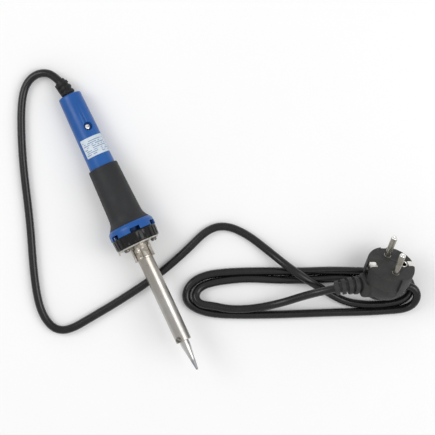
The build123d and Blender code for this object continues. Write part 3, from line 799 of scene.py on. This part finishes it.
def shell_halves():
    """The blue body with its flange, turned whole and parted into its two shells."""
    outline = [
        (0, 4.53),
        (0, REAR_R - 1.36),
        (0.25, REAR_R - 0.7),
        (0.7, REAR_R - 0.2),
        (1.36, REAR_R),
        (GRIP_START, SHELL_R_AT_GRIP),
        (NECK_X, 11.22),
        (FLANGE_BACK - 1.18, 14.66),
        (FLANGE_BACK, 14.66),
        (FLANGE_BACK, 16.38),
        (FLANGE_BACK + 0.91, 17.29),
        (FLANGE_BACK + 2.44, 18.05),
        (113.1, FLANGE_R),
        (FLANGE_FRONT, FLANGE_R),
        (FLANGE_FRONT, 16.47),
        (FLANGE_BACK + 1.45, 16.47),
        (FLANGE_BACK + 1.45, 11.13),
        (FLANGE_FRONT, 11.13),
        (FLANGE_FRONT, 5.88),
        (FLANGE_BACK - 1.63, 5.88),
        (FLANGE_BACK - 1.63, 9.05),
        (2.17, 7.06),
        (2.17, 4.53),
    ]
    whole = turn("handle_shell", outline, sides=96, closed=True)
    posts = []
    for angle in SCREW_ANGLES:
        posts.append(rod(2.17, FLANGE_BACK + 1.2, FLANGE_FRONT, beside(SCREW_CIRCLE, angle)))
    combine(whole, posts, "UNION")
    windows = []
    for step in range(6):
        windows.append(block((5.43, 7.96, 4.0), (FLANGE_R, 0, FLANGE_FRONT - 1.08), 50 - 60 * step))
    combine(whole, windows)
    cup = rod(RECESS_R + 1.0, RECESS_FLOOR - 1.36, 8.3, spoke(HANDLE_SCREW_X, SEAM_ANGLE))
    combine(whole, [cup], "UNION")
    combine(whole, [rod(RECESS_R, RECESS_FLOOR, 13, spoke(HANDLE_SCREW_X, SEAM_ANGLE))])
    for name, side in (("handle_shell_front", 1), ("handle_shell_back", -1)):
        half = whole.copy()
        half.data = whole.data.copy()
        half.name = name + "_moulding"
        bpy.context.scene.collection.objects.link(half)
        editing(half)
        bpy.ops.mesh.select_all(action="SELECT")
        angle = math.radians(-SEAM_ANGLE)
        normal = Vector((math.cos(angle), math.sin(angle), 0)) * side
        bpy.ops.mesh.bisect(
            plane_co=(0, 0, 50), plane_no=normal, use_fill=True, clear_inner=True, threshold=0.0001
        )
        bpy.ops.object.mode_set(mode="OBJECT")
        soften(half, 0.16)
        fit(half, ALONG, "iron", [name], BLUE)
    bpy.data.objects.remove(whole)


def handle_screw():
    """Pan head with a cross recess, at the bottom of its round recess."""
    outline = [(-1.5, 1.27), (0.02, 1.27), (0.02, 2.4), (0.8, 2.4), (1.3, 2.0), (1.54, 1.2)]
    head = turn("handle_cross_screw", outline)
    arms = [block((3.0, 0.62, 1.2), (0, 0, 1.4), turned) for turned in (38, 128)]
    combine(head, arms)
    soften(head, 0.08)
    head.data.transform(spoke(HANDLE_SCREW_X, SEAM_ANGLE) @ Matrix.Translation((0, 0, RECESS_FLOOR)))
    return fit(head, ALONG, "iron", ["handle_screw"], BRIGHT_STEEL)


def grip():
    """Rubber sleeve with rounded ends and a smooth flare."""
    outline = [
        (GRIP_START, SHELL_R_AT_GRIP + 0.1),
        (NECK_X, 11.32),
        (107.6, 14.76),
        (108.75, 14.76),
        (108.8, 16.1),
        (108.6, 16.34),
        (108.2, 15.95),
        (107.6, 15.5),
        (106.9, 15.02),
        (106.0, 14.52),
        (104.9, 13.98),
        (103.6, 13.55),
        (102.0, 13.2),
        (99.0, 13.05),
        (90.0, 12.72),
        (61.6, 11.8),
        (61.0, 11.66),
        (60.65, 11.35),
        (GRIP_START, 10.9),
    ]
    sleeve = turn("grip_sleeve_rubber", outline, sides=96, closed=True)
    soften(sleeve, 0.05, angle=50)
    return fit(sleeve, ALONG, "iron", ["grip_sleeve"], GRIP)


def heat_ring():
    """Pressed resin ring with shallow flutes round its side."""
    outline = [
        (FLANGE_FRONT + 0.02, 6.79),
        (FLANGE_FRONT + 0.02, 17.4),
        (FLANGE_FRONT + 0.4, 17.83),
        (FLANGE_FRONT + 1.3, 17.8),
        (RING_FRONT - 1.0, 17.42),
        (RING_FRONT - 0.45, 17.3),
        (RING_FRONT - 0.02, 16.85),
        (RING_FRONT - 0.02, 8.87),
        (RING_FRONT - 1.63, 8.87),
        (RING_FRONT - 1.63, 6.79),
    ]
    ring = turn("heat_ring_resin", outline, sides=96, closed=True)
    editing(ring)
    bpy.ops.mesh.select_mode(type="FACE")
    bpy.ops.object.mode_set(mode="OBJECT")
    for face in ring.data.polygons:
        centre = face.center
        on_side = centre.xy.length > 17 and FLANGE_FRONT + 1.3 < centre.z < RING_FRONT - 1.0
        step = int((math.degrees(math.atan2(centre.y, centre.x)) % 360) / 3.75)
        face.select = on_side and step % 4 < 2
    bpy.ops.object.mode_set(mode="EDIT")
    bpy.ops.mesh.extrude_region_shrink_fatten(TRANSFORM_OT_shrink_fatten={"value": -0.45})
    bpy.ops.object.mode_set(mode="OBJECT")
    holes = []
    for angle in SCREW_ANGLES:
        holes.append(rod(2.4, RING_FRONT - 0.5, RING_FRONT + 1, beside(SCREW_CIRCLE, angle)))
    combine(ring, holes)
    soften(ring, 0.14)
    return fit(ring, ALONG, "iron", ["heat_shield_ring"], PHENOLIC)


def plate():
    """Clamping disc with its bent tab."""
    outline = [
        (RING_FRONT, 6.12),
        (RING_FRONT, 16.1),
        (RING_FRONT + 0.25, PLATE_R),
        (PLATE_FRONT - 0.25, PLATE_R),
        (PLATE_FRONT, 16.1),
        (PLATE_FRONT, 9.4),
        (PLATE_FRONT + 0.02, 6.12),
    ]
    disc = turn("clamping_plate", outline, sides=96, closed=True)
    tab = block((1.81, 3.62, 1.09), (16.11, 0, RING_FRONT + 0.545), 90)
    lip = block((0.91, 3.62, 2.17), (16.56, 0, PLATE_FRONT + 0.54), 90)
    combine(disc, [tab, lip], "UNION")
    soften(disc, 0.12)
    return fit(disc, ALONG, "iron", ["mounting_plate"], PLATE_STEEL)


def plate_screws():
    """Three slotted screws on the plate, with domed heads."""
    heads = []
    for angle, slot_turn in zip(SCREW_ANGLES, (25, 70, 140)):
        outline = [
            (111.9, 1.27),
            (PLATE_FRONT + 0.02, 1.27),
            (PLATE_FRONT + 0.02, 2.26),
            (PLATE_FRONT + 1.5, 2.22),
            (PLATE_FRONT + 2.05, 1.9),
            (PLATE_FRONT + 2.33, 1.1),
        ]
        head = turn("plate_screw", outline, sides=40)
        combine(head, [block((5, 0.7, 1.2), (0, 0, PLATE_FRONT + 2.2), slot_turn)])
        soften(head, 0.08)
        head.data.transform(beside(SCREW_CIRCLE, angle))
        heads.append(head)
    screws = join(heads, "plate_screws")
    return fit(screws, ALONG, "iron", ["flange_screws"], DARK_STEEL)


def collar():
    """Collar of eight fingers with turned-in lips."""
    back = PLATE_FRONT + 0.02
    outline = [
        (back, 6.12),
        (back, 7.9),
        (back + 0.3, COLLAR_R),
        (COLLAR_FRONT - 2.2, 8.0),
        (COLLAR_FRONT - 1.5, 8.02),
        (COLLAR_FRONT - 0.6, COLLAR_R),
        (COLLAR_FRONT - 0.1, 7.9),
        (COLLAR_FRONT, 7.4),
        (COLLAR_FRONT - 0.3, 6.9),
        (COLLAR_FRONT - 0.9, 6.95),
        (COLLAR_FRONT - 2.2, 7.0),
        (back + 2.35, 7.1),
        (back + 2.35, 6.12),
    ]
    cap = turn("barrel_collar_fingers", outline, sides=96, closed=True)
    length = COLLAR_FRONT - back - 2.0
    centre = (COLLAR_R, 0, back + 2.0 + length / 2 + 0.5)
    slots = []
    for finger in range(COLLAR_FINGERS):
        slots.append(block((3.6, 1.0, length + 1), centre, 360 / COLLAR_FINGERS * finger))
    combine(cap, slots)
    soften(cap, 0.16)
    return fit(cap, ALONG, "iron", ["barrel_collar"], HAMMERED)


def barrel():
    """Drawn tube with a rolled mouth, a flared root and the lock screw's hole."""
    outline = [
        (124.3, BARREL_BORE_R),
        (124.3, 8.55),
        (125.08, 8.55),
        (125.08, BARREL_R),
        (206.6, BARREL_R),
        (206.95, 5.97),
        (207.15, 5.83),
        (207.2, 5.66),
        (207.1, 5.5),
        (206.9, BARREL_BORE_R),
    ]
    tube = turn("barrel_tube", outline, sides=96, closed=True)
    combine(tube, [rod(1.45, 0, 9, spoke(LOCK_SCREW_X, LOCK_SCREW_ANGLE))])
    soften(tube, 0.05)
    return fit(tube, ALONG, "iron", ["barrel"], DRAWN_STEEL)


def lock_screw():
    """Small round-head screw on the barrel's mouth."""
    outline = [
        (3.82, 1.4),
        (6.12, 1.4),
        (6.12, 2.1),
        (6.7, 2.13),
        (7.25, 1.95),
        (7.6, 1.5),
        (7.73, 0.8),
    ]
    screw = turn("tip_lock_screw_head", outline, sides=48)
    combine(screw, [block((5, 0.52, 1.2), (0, 0, 7.7), 30)])
    soften(screw, 0.07)
    screw.data.transform(spoke(LOCK_SCREW_X, LOCK_SCREW_ANGLE))
    return fit(screw, ALONG, "lock_screw", ["tip_lock_screw"], DARK_STEEL)


def tip():
    """Shank, long cone and small rounded point."""
    outline = [
        (144.8, 3.26),
        (145.25, TIP_R),
        (210.4, TIP_R),
        (211.0, 3.66),
        (211.6, 3.54),
        (221.0, 2.12),
        (228.5, 1.12),
        (230.3, 0.91),
        (230.8, 0.72),
        (231.1, 0.45),
        (231.2, 0.15),
    ]
    bit = turn("tip_bit", outline, sides=72)
    soften(bit, 0.05)
    return fit(bit, ALONG, "tip", ["soldering_tip"], TIP_METAL)


def ribbed_relief(name, start, end, core, ribs, first_rib, pitch, thickness, bend, web):
    """A tapering relief with ribs, drawn along +X and bent towards +Y.

    With a web, one side joins the ribs and the other has them split.
    """
    bore = 3.3
    taper = 0.15
    outline = [(start, bore), (start, core)]
    for index, radius in enumerate(ribs):
        back = first_rib + pitch * index - thickness / 2
        front = first_rib + pitch * index + thickness / 2
        root = core - taper * index
        outline += [(back, root), (back, radius - 0.3), (back + 0.3, radius)]
        outline += [(front - 0.3, radius - 0.08), (front, radius - 0.4), (front, root)]
    outline += [(end, core - taper * len(ribs)), (end, bore)]
    piece = turn(name, outline, sides=64, closed=True)
    if web:
        bar = block((3.4, 2.6, end - start - 1.4), (0, core - 0.4, (start + end) / 2))
        combine(piece, [bar], "UNION")
        splits = []
        for index in range(len(ribs)):
            place = (-core - 1.3, 0.6 - index, first_rib + pitch * index)
            splits.append(block((3.0, 0.9, thickness + 0.6), place))
        combine(piece, splits)
    soften(piece, 0.14)
    piece.data.transform(Matrix.Rotation(math.radians(90), 4, "Y"))
    modifier = piece.modifiers.new("bend", "SIMPLE_DEFORM")
    modifier.deform_method = "BEND"
    modifier.deform_axis = "Z"
    modifier.angle = (end - start) / bend
    bpy.context.view_layer.objects.active = piece
    bpy.ops.object.modifier_apply(modifier=modifier.name)
    return piece


def handle_relief():
    """The relief behind the handle: it leaves along -X of the iron."""
    piece = ribbed_relief(
        "handle_relief",
        start=-0.3,
        end=13.2,
        core=4.43,
        ribs=(5.34, 5.16, 4.98),
        first_rib=2.35,
        pitch=3.71,
        thickness=2.17,
        bend=37.83,
        web=True,
    )
    place = IRON @ Matrix.Rotation(math.pi, 4, "Z")
    return fit(piece, place, "iron", ["strain_relief"], RELIEF)


def plug_relief():
    """The relief beside the plug, bent down towards the table."""
    outward = Vector((0, -1, 0))
    towards = Vector((0.43, -0.2, -0.88))
    side = PLUG.to_3x3().inverted() @ towards
    side = (side - outward * side.dot(outward)).normalized()
    frame_matrix = Matrix((outward, side, outward.cross(side))).transposed().to_4x4()
    piece = ribbed_relief(
        "plug_relief",
        start=-1.0,
        end=18.85,
        core=4.5,
        ribs=(6.9, 6.5, 6.0, 5.6),
        first_rib=2.4,
        pitch=4.8,
        thickness=3.0,
        bend=36.0,
        web=False,
    )
    place = PLUG @ Matrix.Translation((0, -20.5 * MM, CABLE_DEPTH * MM)) @ frame_matrix
    return fit(piece, place, "iron", ["plug_strain_relief"], PLUG_RUBBER)


def plug_housing():
    """Round front drum, domed back, thumb rim and the block that the lead leaves."""
    outline = [
        (0, 17.7),
        (-0.15, 18.2),
        (-0.5, 18.6),
        (-1.0, FACE_R),
        (-12.0, FACE_R),
        (-12.6, 18.5),
        (-13.0, 17.9),
        (-13.2, 17.2),
        (-16.0, 17.2),
        (-18.2, 17.05),
        (-20.6, 16.5),
        (-22.8, 15.65),
        (-24.8, 14.4),
        (-26.4, 12.95),
        (-27.6, 11.4),
        (-28.4, 9.9),
        (-28.6, 8.8),
    ]
    housing = turn("plug_housing", outline, sides=96)
    bpy.ops.object.select_all(action="DESELECT")
    bpy.ops.mesh.primitive_cylinder_add(vertices=64, radius=8.5, depth=2.8, location=(0, -2, -29.6))
    rim = bpy.context.active_object
    bpy.ops.object.transform_apply()
    editing(rim)
    bpy.ops.mesh.select_mode(type="VERT")
    bpy.ops.object.mode_set(mode="OBJECT")
    for vertex in rim.data.vertices:
        vertex.select = vertex.co.y > -1.9
    bpy.ops.object.mode_set(mode="EDIT")
    bpy.ops.transform.translate(value=(0, 3.9, 0))
    bpy.ops.mesh.select_all(action="SELECT")
    bpy.ops.transform.translate(value=(0, -1.95, 0))
    bpy.ops.object.mode_set(mode="OBJECT")
    soften(rim, 0.7, segments=3)
    cable = block((16, 19.4, 14), (0, -9.7, CABLE_DEPTH))
    soften(cable, 3.0, segments=5)
    combine(housing, [rim, cable], "UNION")
    cutters = [rod(EARTH_R + 0.02, -14.1, 1, Matrix.Translation((0, EARTH_SIDE, 0)), sides=48)]
    for side, inner in ((-1, 12.1), (1, 13.6)):
        cutters.append(block((6.4, 5, 14.4), (0, side * 19.1, -5.8)))
        cutters.append(block((6.4, 20 - inner, 1.2), (0, side * (inner + 20) / 2, -0.6)))
        cutters.append(block((5, 5.5, 22), (side * 19.3, 0, -8)))
    combine(housing, cutters)
    soften(housing, 0.35, segments=2, angle=32)
    return fit(housing, PLUG, "iron", ["plug_body"], PLUG_RUBBER)


def contact_pin(name, side, node):
    """One round contact pin with a rounded end, a dimple in it, and its root."""
    outline = [
        (-12.0, 2.9),
        (-0.02, 2.9),
        (0.05, PIN_R),
        (17.9, PIN_R),
        (18.5, 2.2),
        (18.85, 1.8),
        (PIN_LENGTH, 1.3),
        (18.8, 0.95),
        (18.3, 0.7),
        (17.9, 0.2),
    ]
    pin = turn(name, outline, sides=48)
    soften(pin, 0.05)
    pin.data.transform(Matrix.Translation((side * PIN_SIDE, 0, 0)))
    return fit(pin, PLUG, "iron", [node], CONTACT_NICKEL)


def earth_sleeve():
    """Sleeve with a rolled mouth that takes the wall socket's earth pin."""
    outline = [
        (-14.0, 0.4),
        (-14.0, EARTH_R),
        (-0.25, EARTH_R),
        (0.0, 3.05),
        (0.0, 2.75),
        (-0.3, 2.5),
        (-0.8, EARTH_BORE_R),
        (-13.0, EARTH_BORE_R),
        (-13.0, 0.4),
    ]
    sleeve = turn("earth_sleeve", outline, sides=48, closed=True)
    soften(sleeve, 0.04)
    sleeve.data.transform(Matrix.Translation((0, EARTH_SIDE, 0)))
    return fit(sleeve, PLUG, "iron", ["plug_earth_socket"], BRIGHT_NICKEL)


def earth_clips():
    """Two spring strips with their tabs folded over the face."""
    clips = []
    for side, inner in ((-1, 12.4), (1, 13.9)):
        strip = block((5.2, 0.9, 11.2), (0, side * 17.1, -6.5))
        bump = block((5.2, 1.2, 5.0), (0, side * 17.6, -7))
        tab = block((5.2, 17.5 - inner, 0.8), (0, side * (inner + 17.5) / 2, -0.6))
        soften(bump, 0.4, segments=3)
        combine(strip, [bump, tab], "UNION")
        soften(strip, 0.2, segments=2)
        clips.append(strip)
    strips = join(clips, "earth_clip_strips")
    return fit(strips, PLUG, "iron", ["plug_earth_clips"], BRIGHT_NICKEL)


def lead():
    """The lead's free stretch as one smooth spline."""
    curve = bpy.data.curves.new("mains_lead", "CURVE")
    curve.dimensions = "3D"
    spline = curve.splines.new("NURBS")
    spline.points.add(len(LEAD_ROUTE) - 1)
    for point, place in zip(spline.points, LEAD_ROUTE):
        point.co = (*(Vector(place) * MM), 1)
    spline.order_u = 3
    spline.use_endpoint_u = True
    spline.resolution_u = 8
    curve.bevel_depth = LEAD_DIAMETER / 2
    curve.bevel_resolution = 8
    curve.materials.append(LEAD)
    piece = bpy.data.objects.new("mains_lead", curve)
    bpy.context.scene.collection.objects.link(piece)
    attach(piece, "iron")
    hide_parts("mains_cord")
    return piece


# --------------------------------------------------------------- studio

VIEW_TARGET = Vector((18.0, 63.0, 10.9)) * MM
VIEW_WIDTH = 333.6 * MM
VIEW_LEAN = math.radians(2.2)
IMAGE_UP = Vector((-0.905, 0.425, 0))
IMAGE_RIGHT = Vector((0.425, 0.905, 0))
LENS = 162
SENSOR = 36
WORLD_LIGHT = 0.66
KEY_POWER = 9
FILL_POWER = 10


def camera():
    """Almost straight above, with a long lens."""
    data = bpy.data.cameras.new("camera")
    data.lens = LENS
    data.sensor_width = SENSOR
    data.clip_end = 50
    back = Vector((-math.sin(VIEW_LEAN), 0, math.cos(VIEW_LEAN)))
    up = (IMAGE_UP - back * IMAGE_UP.dot(back)).normalized()
    right = up.cross(back)
    eye = VIEW_TARGET + back * (VIEW_WIDTH * LENS / SENSOR)
    holder = bpy.data.objects.new("camera", data)
    holder.matrix_world = Matrix.Translation(eye) @ Matrix((right, up, back)).transposed().to_4x4()
    bpy.context.scene.collection.objects.link(holder)
    bpy.context.scene.camera = holder


def floor():
    """The pale table."""
    bpy.ops.object.select_all(action="DESELECT")
    bpy.ops.mesh.primitive_plane_add(size=6, location=(0, 0, 0))
    table = bpy.context.active_object
    table.name = "table_top"
    white = Finish(
        "table_white",
        [(0.89, 0.89, 0.89), (0.91, 0.91, 0.91)],
        (0.6, 0.7),
        (300, 0.01, 0.3),
        patches=3,
    )
    table.data.materials.append(white.material)


def soft_box(name, position, size, power):
    """A rectangular area light that looks at the middle of the view."""
    data = bpy.data.lights.new(name, "AREA")
    data.shape = "RECTANGLE"
    data.size, data.size_y = size
    data.energy = power
    holder = bpy.data.objects.new(name, data)
    back = (position - VIEW_TARGET).normalized()
    facing = back.to_track_quat("Z", "Y").to_matrix().to_4x4()
    holder.matrix_world = Matrix.Translation(position) @ facing
    bpy.context.scene.collection.objects.link(holder)


def lights():
    """An even, white surround with a soft key light and a softer fill."""
    world = bpy.data.worlds.new("studio")
    world.use_nodes = True
    world.node_tree.nodes["Background"].inputs["Color"].default_value = (1, 1, 1, 1)
    world.node_tree.nodes["Background"].inputs["Strength"].default_value = WORLD_LIGHT
    bpy.context.scene.world = world
    away = IMAGE_RIGHT * 0.95 + Vector((0, 0, 1.25))
    soft_box("key_light", VIEW_TARGET + away, (0.8, 1.2), KEY_POWER)
    left = IMAGE_RIGHT * -1.3 + IMAGE_UP * 0.5 + Vector((0, 0, 1.3))
    soft_box("fill_light", VIEW_TARGET + left, (0.9, 0.9), FILL_POWER)


camera()
floor()
lights()
bpy.context.scene.view_settings.view_transform = "Standard"
mains_lead = lead()
shell_halves()
handle_screw()
grip()
heat_ring()
plate()
plate_screws()
collar()
barrel()
lock_screw()
tip()
on_the_lead = [
    handle_relief(),
    plug_relief(),
    plug_housing(),
    contact_pin("live_pin_nickel", -1, "plug_pin_live"),
    contact_pin("neutral_pin_nickel", 1, "plug_pin_neutral"),
    earth_sleeve(),
    earth_clips(),
    frame["nodes"]["cord_tail"],
    frame["nodes"]["plug_cord_tail"],
    frame["nodes"]["plug_pin_bridge"],
]
for node, finish in CAD_FINISHES.items():
    piece = frame["nodes"][node]
    piece.data.materials.clear()
    piece.data.materials.append(finish)
